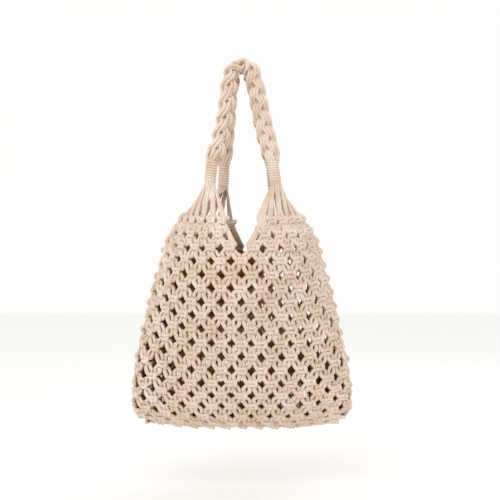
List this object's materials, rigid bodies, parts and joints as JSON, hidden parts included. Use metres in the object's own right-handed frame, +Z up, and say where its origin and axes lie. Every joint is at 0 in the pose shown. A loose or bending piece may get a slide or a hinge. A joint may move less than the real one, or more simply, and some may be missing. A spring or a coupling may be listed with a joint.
{
  "type": "net bag",
  "caption": "Hand-knotted cotton cord net bag with bound corner gathers and braided carrying handles, hanging from the crown of the handles.",
  "frame": {"origin": "underside of the handles' crown, in the middle between the two handles, where the bag hangs", "axes": "+Z up, the front of the bag towards -Y, +X to the right as seen from the front"},
  "size_m": [0.3214, 0.2184, 0.5475],
  "materials": {
    "cotton_cord": "matt cotton"
  },
  "bodies": {
    "root": {"net_body": "cotton_cord", "front_right_binding": "cotton_cord", "back_right_binding": "cotton_cord", "back_left_binding": "cotton_cord", "front_left_binding": "cotton_cord", "front_right_fan_cords_1": "cotton_cord", "front_right_fan_cords_2": "cotton_cord", "front_right_fan_cords_3": "cotton_cord", "front_right_fan_cords_4": "cotton_cord", "front_right_fan_cords_5": "cotton_cord", "front_right_fan_cords_6": "cotton_cord", "back_right_fan_cords_1": "cotton_cord", "back_right_fan_cords_2": "cotton_cord", "back_right_fan_cords_3": "cotton_cord", "back_right_fan_cords_4": "cotton_cord", "back_right_fan_cords_5": "cotton_cord", "back_right_fan_cords_6": "cotton_cord", "back_left_fan_cords_1": "cotton_cord", "back_left_fan_cords_2": "cotton_cord", "back_left_fan_cords_3": "cotton_cord", "back_left_fan_cords_4": "cotton_cord", "back_left_fan_cords_5": "cotton_cord", "back_left_fan_cords_6": "cotton_cord", "front_left_fan_cords_1": "cotton_cord", "front_left_fan_cords_2": "cotton_cord", "front_left_fan_cords_3": "cotton_cord", "front_left_fan_cords_4": "cotton_cord", "front_left_fan_cords_5": "cotton_cord", "front_left_fan_cords_6": "cotton_cord", "front_handle_strand_1": "cotton_cord", "front_handle_strand_2": "cotton_cord", "front_handle_strand_3": "cotton_cord", "back_handle_strand_1": "cotton_cord", "back_handle_strand_2": "cotton_cord", "back_handle_strand_3": "cotton_cord"}
  },
  "joints": []
}
